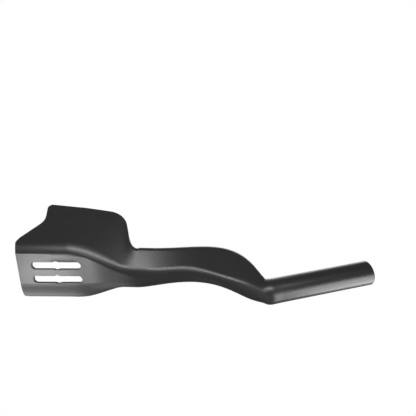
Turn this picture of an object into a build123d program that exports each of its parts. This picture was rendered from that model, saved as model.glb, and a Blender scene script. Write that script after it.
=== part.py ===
from build123d import *
import os
from math import cos, radians, sin, tan

# Aero handlebar extension for the right arm: one moulded carbon piece
# with a forearm cup, a neck and a grip tube.
# Origin: centre of the two bolt slots, on the underside of the cup's floor. +X forward, +Y inboard, +Z up.

# Cup
cup_rear = 35.4  # rear edge behind the slot centre, at the floor
rear_rake = 21.0  # degrees by which the rear edge leans back
cup_straight = 8.0  # the cup's section stays the same up to here, ahead of the slot centre
floor_inboard = 21.6  # floor plane to where the lip's line meets it
floor_outboard = 18.8  # floor plane to the crease along its outer side
lip_slope = 48.0  # degrees from the floor
lip_radius = 24.0
lip_flat = 1.75  # of the lip beyond its rounding
crease_turn = 25.0  # degrees by which the skin turns up at the crease
crease_radius = 1.5
roll_radius = 18.0  # between crease and wall
roll_lead = 0.5  # flat between the crease and the roll
wall_lean = 62.0  # degrees from the floor
wall_height = 54.0  # moulded height, before the edge is trimmed
wall_band = 10.0  # moulded thickness of that edge
edge_radius = 1.0  # of the moulded edges
laminate = 2.5
inner_corner = 6.0  # radius of the inboard rear corner, in plan

# Slots for the riser bolts
slot_length = 45.4
slot_width = 7.0
slot_spacing = 13.6
slot_eye = 8.6  # round widening at the middle of each slot

# Trimmed outline of the wall: corners as (ahead of the slot centre, height), with the radius of each
rear_slant = 39.0  # degrees off upright of the edge between the rear foot and the notch
rear_foot_radius = 13.0
notch = (-20.8, 30.7)
notch_radius = 13.5
rear_top = (-26.2, 51.3)
rear_top_radius = 4.0
front_top = (54.2, 41.4)
front_top_radius = 24.0
front_foot = (64.2, 14.0)
front_foot_radius = 5.0
trim_turn = 8.0  # degrees by which the trim runs clear of the rear edge

# Where each form of the cup starts and ends running into the neck, ahead of the slot centre
lip_start = 16.0
lip_end = 66.0
drop_start = 26.0
crease_fade = 30.0
wall_start = 46.0
wall_end = 70.5
shoulder_shares = (0.0, 0.17, 0.33, 0.5, 0.67, 0.82, 0.94, 1.0)  # places of the sections between cup and neck

# Hollow of the cup: its floor rises until it runs out over the neck
scoop_start = 26.0
scoop_end = 80.0
scoop_rise = 13.0
scoop_cant = 11.0  # degrees
scoop_top = 75.0
scoop_shares = (0.0, 0.26, 0.51, 0.76, 1.0)  # places of the sections between its start and end

# Neck sections: distance ahead of the slot centre and five corners, each as (across, up)
# in the order foot, keel, ridge, crown, rim, with the radius that rounds each corner
shoulder_x = 74.0
shoulder_corners = ((12.0, -5.4), (-3.2, -6.2), (-21.8, 10.5), (-15.0, 17.0), (17.6, 9.8))
shoulder_radii = (8.0, 13.0, 4.0, 5.0, 5.0)
seam_lead = 4.0  # from the shoulder to the next section
nape_x = 97.0
nape_corners = ((8.4, -4.9), (-3.1, -7.0), (-20.6, 12.0), (-14.0, 20.7), (15.4, 9.6))
nape_radii = (7.0, 11.0, 5.0, 7.5, 5.0)
waist_x = 124.0
waist_corners = ((5.5, -6.3), (-6.0, -8.0), (-21.3, 16.5), (-11.0, 25.2), (12.0, 9.3))
waist_radii = (6.0, 9.2, 6.8, 8.6, 5.0)
hip_x = 150.0
hip_corners = ((8.8, -9.9), (-0.8, -13.2), (-21.0, 20.3), (-7.5, 25.4), (13.7, 8.8))
hip_radii = (6.5, 8.0, 7.5, 9.0, 6.0)
throat_x = 167.0
throat_centre = (4.5, -1.5)
throat_corners = ((10.6, -11.6), (-0.6, -14.2), (-21.0, 18.0), (-5.0, 21.8), (12.0, 10.0))
throat_radii = (6.0, 9.5, 8.5, 9.5, 7.0)
throat_turn = 10.0  # heading, degrees inboard
gullet_x = 182.0
gullet_centre = (10.8, -4.4)
gullet_corners = ((10.2, -10.8), (-2.4, -12.8), (-11.2, 7.5), (-2.0, 12.0), (9.8, 6.5))
gullet_radii = (6.0, 9.5, 6.5, 7.0, 6.0)
gullet_turn = 24.0  # heading, degrees inboard
keel_share = 0.94  # of the keel's radius that each of its two corners keeps
neck_wall = 2.5

# Grip tube
bend = (191.8, 14.5, -5.6)  # where the tube's axis starts
bend_centre = (191.8, 14.9, -6.0)  # centre of the neck's last section, inside the bend
bend_inset = 0.6  # by which that section is smaller than the tube
bend_soft = 2.0  # by which its corners are tighter than a full circle
bend_first = -50.0  # degrees to the first of its corners
bend_turn = 34.0  # heading of the neck where it enters the bend, degrees inboard
tube_diameter = 22.2
tube_bore = 19.0
tube_length = 95.6
tube_rise = 12.8  # degrees
tube_toe = -5.1  # degrees, inboard positive
tube_edge = 1.0  # rounding of the tube's end
root_length = 8.0  # tapered root of the tube, from the bend
root_swell = 0.2  # by which the bend is thicker than the tube, on the radius

clear = 20.0  # by which cuts run past the piece


def smooth(x, start, end):
    share = min(max((x - start) / (end - start), 0.0), 1.0)
    return share * share * (3 - 2 * share)


def between(first, last, share):
    return tuple(a + (b - a) * share for a, b in zip(first, last))


def section_plane(x, y=0.0, z=0.0, turn=0.0):
    heading = (cos(radians(turn)), sin(radians(turn)), 0)
    return Plane(origin=(x, y, z), x_dir=(-heading[1], heading[0], 0), z_dir=heading)


def section(plane, corners, radii, inset=0.0):
    points = [Vector(*corner) for corner in corners]
    with BuildSketch(plane) as outline:
        with BuildLine():
            arcs = []
            for i, radius in enumerate(radii):
                back = (points[i - 1] - points[i]).normalized()
                ahead = (points[(i + 1) % len(points)] - points[i]).normalized()
                half = radians(back.get_angle(ahead) / 2)
                middle = points[i] + (back + ahead).normalized() * (radius / sin(half) - radius)
                reach = radius / tan(half)
                arcs.append(ThreePointArc(points[i] + back * reach, middle, points[i] + ahead * reach))
            for arc, following in zip(arcs, arcs[1:] + arcs[:1]):
                Line(arc @ 1, following @ 0)
        make_face()
        if inset:
            offset(amount=-inset, mode=Mode.REPLACE)
    return outline.sketch


def meet(point, direction, other, heading):
    cross = direction.X * heading.Y - direction.Y * heading.X
    gap = other - point
    return point + direction * ((gap.X * heading.Y - gap.Y * heading.X) / cross)


# A neck section with its keel drawn as two softer corners, the inner one carrying on the cup's crease
def creased(corners, radii):
    foot, keel, ridge, crown, rim = [Vector(*corner) for corner in corners]
    back = (foot - keel).normalized()
    ahead = (ridge - keel).normalized()
    turn = radians(180 - back.get_angle(ahead))
    reach = radii[1] * (tan(turn / 2) - tan(turn / 4))
    points = [foot, keel + back * reach, keel + ahead * reach, ridge, crown, rim]
    softened = keel_share * radii[1]
    return [(p.X, p.Y) for p in points], [radii[0], softened, softened, *radii[2:]]


def half_turns(corners):
    points = [Vector(*corner) for corner in corners]
    sides = [point - before for before, point in zip(points[-1:] + points, points)]
    return [radians(side.get_angle(after) / 2) for side, after in zip(sides, sides[1:] + sides[:1])]


# Corners of the cup's section: foot, crease, roll, the wall's two edges and the lip's rim
lip_up = Vector(cos(radians(lip_slope)), sin(radians(lip_slope)))
lip_reach = lip_radius * tan(radians(lip_slope / 2))
crease_up = Vector(-cos(radians(crease_turn)), sin(radians(crease_turn)))
crease_reach = crease_radius * tan(radians(crease_turn / 2))
roll_reach = roll_radius * tan(radians((wall_lean - crease_turn) / 2))
wall_up = Vector(-cos(radians(wall_lean)), sin(radians(wall_lean)))
foot_at = Vector(floor_inboard, 0)
crease_at = Vector(-floor_outboard, 0)
roll_at = crease_at + crease_up * (crease_reach + roll_lead + roll_reach)
wall_top = roll_at + wall_up * ((wall_height - roll_at.Y) / wall_up.Y)
rim_at = foot_at + lip_up * (lip_reach + lip_flat)
cup_points = (foot_at, crease_at, roll_at, wall_top, wall_top + Vector(wall_band, 0), rim_at)
cup_corners = [(p.X, p.Y) for p in cup_points]
cup_radii = (lip_radius, crease_radius, roll_radius, edge_radius, edge_radius, edge_radius)
cup_reaches = [r * tan(half) for r, half in zip(cup_radii, half_turns(cup_corners))]
neck_corners, neck_radii = creased(shoulder_corners, shoulder_radii)
neck_reaches = [r * tan(half) for r, half in zip(neck_radii, half_turns(neck_corners))]


# Outer skin across the cup and the shoulder, at a distance ahead of the slot centre
def skin(x):
    across = smooth(x, cup_straight, shoulder_x)
    inboard = smooth(x, lip_start, lip_end)
    drop = smooth(x, drop_start, shoulder_x)
    fade = smooth(x, crease_fade, shoulder_x)
    ridge = smooth(x, wall_start, wall_end)
    foot, crease, keel, edge, crown, rim = zip(cup_corners, neck_corners)
    corners = [
        (between(*foot, inboard)[0], between(*foot, drop)[1]),
        (between(*crease, across)[0], between(*crease, drop)[1]),
        (between(*keel, across)[0], between(*keel, drop)[1]),
        between(*edge, ridge),
        between(*crown, ridge),
        between(*rim, inboard),
    ]
    shares = (inboard, fade, across, ridge, ridge, ridge)
    reaches = [a + (b - a) * share for a, b, share in zip(cup_reaches, neck_reaches, shares)]
    return corners, [reach / tan(half) for reach, half in zip(reaches, half_turns(corners))]


# Hollow of the cup at a distance ahead of the slot centre: the skin set in by the laminate
def scoop(x):
    corners, radii = skin(x)
    foot, keel, edge, rim = [Vector(*corners[i]) for i in (0, 2, 3, 5)]
    run = max(0.0, (x - scoop_start) / (scoop_end - scoop_start))
    floor_at = Vector(0, laminate + scoop_rise * run * run)
    cant = radians(scoop_cant * min(run, 1.0))
    level = Vector(-cos(cant), sin(cant))
    wall = (edge - keel).normalized()
    lip = (rim - foot).normalized()
    wall_at = keel + Vector(wall.Y, -wall.X) * laminate
    lip_at = foot + Vector(-lip.Y, lip.X) * laminate
    top_at = Vector(0, scoop_top)
    inner = [
        meet(lip_at, lip, floor_at, level),
        meet(wall_at, wall, floor_at, level),
        meet(wall_at, wall, top_at, Vector(1, 0)),
        meet(lip_at, lip, top_at, Vector(1, 0)),
    ]
    inner_radii = (radii[0] - laminate, radii[2] - laminate, edge_radius, edge_radius)
    return [(p.X, p.Y) for p in inner], inner_radii


shoulder_stations = [cup_straight + (shoulder_x - cup_straight) * share for share in shoulder_shares]
scoop_stations = [scoop_start + (scoop_end - scoop_start) * share for share in scoop_shares]
seam_x = shoulder_x + seam_lead
seam_share = smooth(seam_x, shoulder_x, nape_x)
seam_corners = [between(a, b, seam_share) for a, b in zip(shoulder_corners, nape_corners)]
seam_radii = between(shoulder_radii, nape_radii, seam_share)
root_radius = tube_diameter / 2 + root_swell
bend_round = tube_diameter / 2 - bend_inset
bend_angles = [radians(bend_first - 72 * i) for i in range(5)]
bend_reach = bend_round / cos(radians(36))
bend_corners = [(bend_reach * cos(angle), bend_reach * sin(angle)) for angle in bend_angles]
bend_radii = (bend_round - bend_soft,) * 5
neck_places = [
    (section_plane(seam_x), seam_corners, seam_radii),
    (section_plane(nape_x), nape_corners, nape_radii),
    (section_plane(waist_x), waist_corners, waist_radii),
    (section_plane(hip_x), hip_corners, hip_radii),
    (section_plane(throat_x, *throat_centre, throat_turn), throat_corners, throat_radii),
    (section_plane(gullet_x, *gullet_centre, gullet_turn), gullet_corners, gullet_radii),
    (section_plane(*bend_centre, bend_turn), bend_corners, bend_radii),
]
tube_heading = Vector(
    cos(radians(tube_rise)) * cos(radians(tube_toe)),
    cos(radians(tube_rise)) * sin(radians(tube_toe)),
    sin(radians(tube_rise)),
)
tube_plane = Plane(origin=bend, x_dir=tube_heading, z_dir=tube_heading.cross(Vector(0, 0, 1)))
tube_axis = Axis(bend, tube_heading)

wall_plane = Plane(
    origin=(0, roll_at.X, roll_at.Y),
    x_dir=(1, 0, 0),
    z_dir=(0, -wall_up.Y, wall_up.X),
)


def on_wall(corner):
    return corner[0], (corner[1] - roll_at.Y) / wall_up.Y


# The slanting edge runs down from the notch until it meets the rear edge
rake = tan(radians(rear_rake))
slant = tan(radians(rear_slant))
foot_height = (notch[1] * slant - notch[0] - cup_rear) / (slant + rake)
rear_foot = (-cup_rear - foot_height * rake, foot_height)
rear_end = (rear_foot[0] + foot_height * tan(radians(rear_rake - trim_turn)), 0.0)
front_end = (front_foot[0] + 2 * clear, front_foot[1] + 2 * clear)
cut_top = wall_height + clear
cut_back = rear_end[0] - 2 * clear
wall_corners = (front_end, front_foot, front_top, rear_top, notch, rear_foot, rear_end)
cut_corners = (front_end, (front_end[0], cut_top), (cut_back, cut_top), (cut_back, rear_end[1]), rear_end)
rounded = (
    (rear_foot, rear_foot_radius),
    (notch, notch_radius),
    (rear_top, rear_top_radius),
    (front_top, front_top_radius),
    (front_foot, front_foot_radius),
)
corner_centre = (-cup_rear - rim_at.Y * rake + inner_corner, rim_at.X - inner_corner)

with BuildPart() as body:
    extrude(section(section_plane(-cup_rear - clear), *skin(cup_straight)), cup_rear + clear + cup_straight)
    loft([section(section_plane(x), *skin(x)) for x in shoulder_stations])
    neck_sections = [section(section_plane(shoulder_x), neck_corners, neck_radii)]
    for plane, corners, radii in neck_places:
        neck_sections.append(section(plane, *creased(corners, radii)))
    loft(neck_sections)
    # Grip tube with a round bend
    with BuildSketch(tube_plane):
        with BuildLine():
            CenterArc((0, 0), root_radius, 90, 90)
            Line((0, root_radius), (root_length, tube_diameter / 2))
            Line((root_length, tube_diameter / 2), (tube_length, tube_diameter / 2))
            Line((tube_length, tube_diameter / 2), (tube_length, 0))
            Line((tube_length, 0), (-root_radius, 0))
        make_face()
    revolve(axis=tube_axis)
    fillet(body.faces().sort_by(tube_axis)[-1].edges(), tube_edge)
    # Hollow of the neck and the tube, open at the tube's end
    hollow_sections = []
    for plane, corners, radii in neck_places:
        hollow_sections.append(section(plane, *creased(corners, radii), neck_wall))
    loft(hollow_sections, mode=Mode.SUBTRACT)
    with BuildSketch(tube_plane):
        with BuildLine():
            CenterArc((0, 0), tube_bore / 2, 90, 90)
            Line((0, tube_bore / 2), (tube_length + clear, tube_bore / 2))
            Line((tube_length + clear, tube_bore / 2), (tube_length + clear, 0))
            Line((tube_length + clear, 0), (-tube_bore / 2, 0))
        make_face()
    revolve(axis=tube_axis, mode=Mode.SUBTRACT)
    # Hollow of the cup, open at the rear and the top
    extrude(
        section(section_plane(-cup_rear - 2 * clear), *scoop(cup_straight)),
        cup_rear + 2 * clear + cup_straight,
        mode=Mode.SUBTRACT,
    )
    loft([section(section_plane(x), *scoop(x)) for x in (cup_straight, *scoop_stations)], mode=Mode.SUBTRACT)
    # Rear edge, leaning back across the whole cup
    with BuildSketch(Plane.XZ):
        with BuildLine():
            Polyline(
                (-cup_rear + clear * rake, -clear),
                (-cup_rear - cut_top * rake, cut_top),
                (-cup_rear - cut_top * rake - clear, cut_top),
                (-cup_rear - cut_top * rake - clear, -clear),
                close=True,
            )
        make_face()
    extrude(amount=wall_height + clear, both=True, mode=Mode.SUBTRACT)
    with BuildSketch(Plane.XY):
        with Locations(corner_centre):
            Rectangle(2 * inner_corner, 2 * inner_corner, align=(Align.MAX, Align.MIN))
            Circle(inner_corner, mode=Mode.SUBTRACT)
    extrude(amount=rim_at.Y + clear, mode=Mode.SUBTRACT)
    # Edge of the wall, trimmed square to its face
    with BuildSketch(wall_plane):
        with BuildLine() as edge:
            Polyline(*[on_wall(corner) for corner in wall_corners])
            for corner, radius in rounded:
                fillet(edge.vertices().sort_by_distance((*on_wall(corner), 0))[0], radius)
            Polyline(*[on_wall(corner) for corner in cut_corners])
        make_face()
    extrude(amount=2 * clear, both=True, mode=Mode.SUBTRACT)
    # Slots
    with BuildSketch(Plane.XY):
        with GridLocations(0, slot_spacing, 1, 2):
            SlotOverall(slot_length, slot_width)
            Circle(slot_eye / 2)
    extrude(amount=laminate * 2, both=True, mode=Mode.SUBTRACT)

os.makedirs("parts", exist_ok=True)
body.part.label = "extension_body"
export_step(body.part, "parts/extension_body.step")
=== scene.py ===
from math import pi, radians, tan
import bpy
import bmesh
from mathutils import Matrix, Vector

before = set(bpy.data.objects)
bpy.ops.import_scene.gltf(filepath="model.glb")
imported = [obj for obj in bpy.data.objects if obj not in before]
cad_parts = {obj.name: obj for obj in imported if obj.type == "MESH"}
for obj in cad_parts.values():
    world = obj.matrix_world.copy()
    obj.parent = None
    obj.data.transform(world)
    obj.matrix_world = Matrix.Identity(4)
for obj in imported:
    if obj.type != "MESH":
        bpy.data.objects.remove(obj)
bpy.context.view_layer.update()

print("loaded:", ", ".join(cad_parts))


class Wire:  # one socket of a node tree; sums on wires add Math nodes
    def __init__(self, tree, socket=None):
        self.tree = tree
        self.socket = socket

    def make(self, kind, settings=None, inputs=None, output=0):
        node = self.tree.nodes.new(kind)
        for name, value in (settings or {}).items():
            setattr(node, name, value)
        for name, value in (inputs or {}).items():
            if isinstance(value, Wire):
                self.tree.links.new(value.socket, node.inputs[name])
            else:
                node.inputs[name].default_value = value
        return Wire(self.tree, node.outputs[output] if len(node.outputs) else None)

    def reckon(self, operation, first, second):
        return self.make("ShaderNodeMath", {"operation": operation}, {0: first, 1: second})

    def __add__(self, other):
        return self.reckon("ADD", self, other)

    __radd__ = __add__

    def __sub__(self, other):
        return self.reckon("SUBTRACT", self, other)

    def __rsub__(self, other):
        return self.reckon("SUBTRACT", other, self)

    def __mul__(self, other):
        return self.reckon("MULTIPLY", self, other)

    __rmul__ = __mul__


def emptyMaterial(name):
    material = bpy.data.materials.new(name)
    material.use_nodes = True
    material.node_tree.nodes.clear()
    return material, Wire(material.node_tree)


def noise(place, turns, detail):
    return place.make("ShaderNodeTexNoise", inputs={"Vector": place, "Scale": turns, "Detail": detail})


def stretchedNoise(place, turns, detail):  # turns along x, y and z
    stretched = place.make("ShaderNodeMapping", inputs={"Vector": place, "Scale": turns})
    return noise(stretched, 1.0, detail)


def ranged(value, start, end):  # 0 up to start, 1 from end on
    return value.make("ShaderNodeMapRange", inputs={"Value": value, "From Min": start, "From Max": end})


def nearness(place, spot, near, far):  # 1 within the first distance of a spot, 0 past the second
    away = place.make("ShaderNodeVectorMath", {"operation": "DISTANCE"}, {0: place, 1: spot}, "Value")
    return ranged(away, far, near)


def softened(tree, radius, samples):  # the normal, averaged over a radius
    return tree.make("ShaderNodeBevel", {"samples": samples}, {"Radius": radius})


# the Mix node has its own sockets for each kind of value
def mixedColour(share, first, second):
    return share.make("ShaderNodeMix", {"data_type": "RGBA"}, {0: share, 6: first, 7: second}, 2)


def mixedVector(share, first, second):
    return share.make("ShaderNodeMix", {"data_type": "VECTOR"}, {0: share, 4: first, 5: second}, 1)


# satin moulded carbon: black laminate under a thin matt lacquer, rubbed a little along its edges
carbon = {
    "dark": (0.008, 0.008, 0.009, 1.0),
    "light": (0.022, 0.022, 0.023, 1.0),
    "rubbed": (0.075, 0.073, 0.070, 1.0),
    "fibreTurns": (16.0, 1100.0, 1100.0),  # long and thin: the fibres run down the part
    "fibreDetail": 3.0,
    "towTurns": (5.0, 170.0, 170.0),  # broader bundles of them
    "towDetail": 2.0,
    "mottleTurns": 28.0,
    "mottleDetail": 4.0,
    "noiseMiddle": 0.5,
    "toneShares": (0.45, 0.30, 0.25),  # of fibres, bundles and mottle in the colour
    "roughness": 0.36,
    "roughSwings": (0.10, 0.06),  # by which mottle and fibres vary it
    "rubShine": 0.08,  # by which rubbing lowers it
    "refraction": 1.5,
    "coat": 0.10,
    "coatRoughness": 0.30,
    "peelTurns": 700.0,  # fine grain of the lacquer
    "peelDetail": 2.0,
    "peelDepth": 0.00002,
    "fibreLift": 0.3,  # of fibres and bundles, beside the grain's 1
    "bump": 0.35,
    "edgeRadius": 0.0007,
    "edgeSamples": 8,
    "edgeTurn": (0.99, 0.86),  # cosine of the normal's turn where rubbing starts and where it is full
    "rub": 0.55,
    "rubPatches": (0.35, 0.9),  # rubbed anywhere, and with the mottle
    "blends": (  # where one form runs into the next: a spot and two distances, full and none
        ((0.1930, 0.0150, -0.0060), 0.012, 0.030),  # neck into tube
        ((0.0080, -0.0240, 0.0040), 0.008, 0.020),  # roll into shoulder
    ),
    "blendRadius": 0.006,
    "blendSamples": 16,
}


def satinCarbon():
    material, tree = emptyMaterial("satin_carbon")
    place = tree.make("ShaderNodeTexCoord", output="Object")
    fibre = stretchedNoise(place, carbon["fibreTurns"], carbon["fibreDetail"])
    tow = stretchedNoise(place, carbon["towTurns"], carbon["towDetail"])
    mottle = noise(place, carbon["mottleTurns"], carbon["mottleDetail"])
    peel = noise(place, carbon["peelTurns"], carbon["peelDetail"])

    # the softened normal departs from the face only beside an edge, which is where it is rubbed
    soft = softened(tree, carbon["edgeRadius"], carbon["edgeSamples"])
    face = tree.make("ShaderNodeNewGeometry", output="True Normal")
    turn = tree.make("ShaderNodeVectorMath", {"operation": "DOT_PRODUCT"}, {0: soft, 1: face}, "Value")
    anywhere, patchy = carbon["rubPatches"]
    rubbed = carbon["rub"] * ranged(turn, *carbon["edgeTurn"]) * (anywhere + patchy * mottle)

    # near each blend the normal is softened more widely
    wide = softened(tree, carbon["blendRadius"], carbon["blendSamples"])
    blend = sum(nearness(place, *spot) for spot in carbon["blends"])
    smoothed = mixedVector(blend, soft, wide)

    fibreShare, towShare, mottleShare = carbon["toneShares"]
    tone = fibreShare * fibre + towShare * tow + mottleShare * mottle
    cloth = mixedColour(tone, carbon["dark"], carbon["light"])
    mottleSwing, fibreSwing = carbon["roughSwings"]
    swing = mottleSwing * (mottle - carbon["noiseMiddle"]) + fibreSwing * (fibre - carbon["noiseMiddle"])
    bump = tree.make("ShaderNodeBump", inputs={
        "Strength": carbon["bump"],
        "Distance": carbon["peelDepth"],
        "Height": peel + carbon["fibreLift"] * (fibre + tow),
        "Normal": smoothed,
    })
    surface = tree.make("ShaderNodeBsdfPrincipled", inputs={
        "Base Color": mixedColour(rubbed, cloth, carbon["rubbed"]),
        "Roughness": carbon["roughness"] + swing - carbon["rubShine"] * rubbed,
        "Normal": bump,
        "IOR": carbon["refraction"],
        "Coat Weight": carbon["coat"],
        "Coat Roughness": carbon["coatRoughness"],
    })
    tree.make("ShaderNodeOutputMaterial", inputs={"Surface": surface})
    return material


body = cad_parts["extension_body"]
body.data.materials.clear()
body.data.materials.append(satinCarbon())
print("carbon laid on the body")


# floor well under the part, which hangs in the air as in use: pale to the eye, dim to the part
floor = {
    "height": -0.6,
    "reach": 30.0,
    "paint": (0.30, 0.30, 0.30, 1.0),
    "paper": (0.92, 0.92, 0.92, 1.0),
}


def paleFloor():
    mesh = bpy.data.meshes.new("pale_floor")
    sheet = bmesh.new()
    bmesh.ops.create_grid(sheet, x_segments=1, y_segments=1, size=floor["reach"])
    bmesh.ops.translate(sheet, verts=sheet.verts, vec=(0.0, 0.0, floor["height"]))
    sheet.to_mesh(mesh)
    sheet.free()
    material, tree = emptyMaterial("floor_paint")
    paint = tree.make("ShaderNodeBsdfDiffuse", inputs={"Color": floor["paint"]})
    paper = tree.make("ShaderNodeEmission", inputs={"Color": floor["paper"]})
    seen = tree.make("ShaderNodeLightPath", output="Is Camera Ray")
    surface = tree.make("ShaderNodeMixShader", inputs={0: seen, 1: paint, 2: paper})
    tree.make("ShaderNodeOutputMaterial", inputs={"Surface": surface})
    mesh.materials.append(material)
    piece = bpy.data.objects.new("pale_floor", mesh)
    bpy.context.scene.collection.objects.link(piece)


paleFloor()
print("floor laid")


def facing(at, aim, along):  # stands at a place, looks at a spot, its first side along a line
    back = (Vector(at) - Vector(aim)).normalized()
    upright = back.cross(Vector(along)).normalized()
    turn = Matrix((upright.cross(back), upright, back)).transposed().to_4x4()
    return Matrix.Translation(at) @ turn


# soft boxes: where each stands, looks and lies, both sides in metres, the degrees its light fans
# out over, and how brightly its face glows
softBoxes = {
    "cupBox": {
        "at": (-0.302, 0.255, -0.523), "aim": (-0.016, -0.003, 0.0), "along": (1.0, 0.0, 0.0),
        "size": (0.09, 0.13), "fan": 10.0, "glow": 152.0,
    },
    "lipBox": {
        "at": (-0.34, 0.54, -0.12), "aim": (0.0, 0.02, 0.0), "along": (1.0, 0.0, 0.0),
        "size": (0.30, 0.78), "fan": 180.0, "glow": 1.9,
    },
    "tubeBox": {
        "at": (0.605, 0.26, -0.26), "aim": (0.24, 0.01, 0.0), "along": (-0.12, 0.62, 0.775),
        "size": (0.74, 0.30), "fan": 180.0, "glow": 7.2,
    },
    "strip": {
        "at": (0.07, -0.44, -0.31), "aim": (0.07, 0.0, 0.0), "along": (1.0, 0.0, 0.0),
        "size": (0.58, 0.06), "fan": 180.0, "glow": 24.0,
    },
    "overhead": {
        "at": (0.1, 0.1, 2.0), "aim": (0.1, 0.1, 0.0), "along": (1.0, 0.0, 0.0),
        "size": (2.0, 2.0), "fan": 180.0, "glow": 2.4,
    },
}


def hangSoftBox(name, given):
    light = bpy.data.lights.new(name, "AREA")
    light.shape = "RECTANGLE"
    light.size, light.size_y = given["size"]
    light.spread = radians(given["fan"])
    half = light.spread / 2
    narrowing = 1 - half / tan(half)  # a narrow fan takes less power for the same glow
    light.energy = pi * given["glow"] * light.size * light.size_y * narrowing
    lamp = bpy.data.objects.new(name, light)
    lamp.matrix_world = facing(given["at"], given["aim"], given["along"])
    lamp.visible_camera = False
    bpy.context.scene.collection.objects.link(lamp)


for boxName, boxSetting in softBoxes.items():
    hangSoftBox(boxName, boxSetting)
print("soft boxes hung:", len(softBoxes))


# white paper all round to the eye, a dim room to the part
room = {
    "paper": (1.0, 1.0, 1.0, 1.0),
    "dim": (0.20, 0.20, 0.20, 1.0),
}


def paperRoom():
    world = bpy.data.worlds.new("paper_room")
    world.use_nodes = True
    world.node_tree.nodes.clear()
    tree = Wire(world.node_tree)
    seen = tree.make("ShaderNodeLightPath", output="Is Camera Ray")
    glow = tree.make("ShaderNodeBackground", inputs={"Color": mixedColour(seen, room["dim"], room["paper"])})
    tree.make("ShaderNodeOutputWorld", inputs={"Surface": glow})
    bpy.context.scene.world = world


paperRoom()
bpy.context.scene.view_settings.view_transform = "Standard"  # keeps the paper white
print("room papered")


# the eye: under the part and outboard of it, looking up
eye = {
    "at": (0.14805, -0.13659, -0.27021),
    "aim": (0.13836, -0.06030, 0.0),
    "along": (0.99940, 0.01132, 0.03266),  # to the eye's right
    "lens": 28.808,  # millimetres, as is the sensor
    "sensor": 36.0,
    "shift": (-0.0012, 0.0012),
    "nearest": 0.01,
}


def setEye():
    camera = bpy.data.cameras.new("eye")
    camera.sensor_width = eye["sensor"]
    camera.lens = eye["lens"]
    camera.shift_x, camera.shift_y = eye["shift"]
    camera.clip_start = eye["nearest"]
    viewer = bpy.data.objects.new("eye", camera)
    viewer.matrix_world = facing(eye["at"], eye["aim"], eye["along"])
    bpy.context.scene.collection.objects.link(viewer)
    bpy.context.scene.camera = viewer


setEye()
print("eye set")
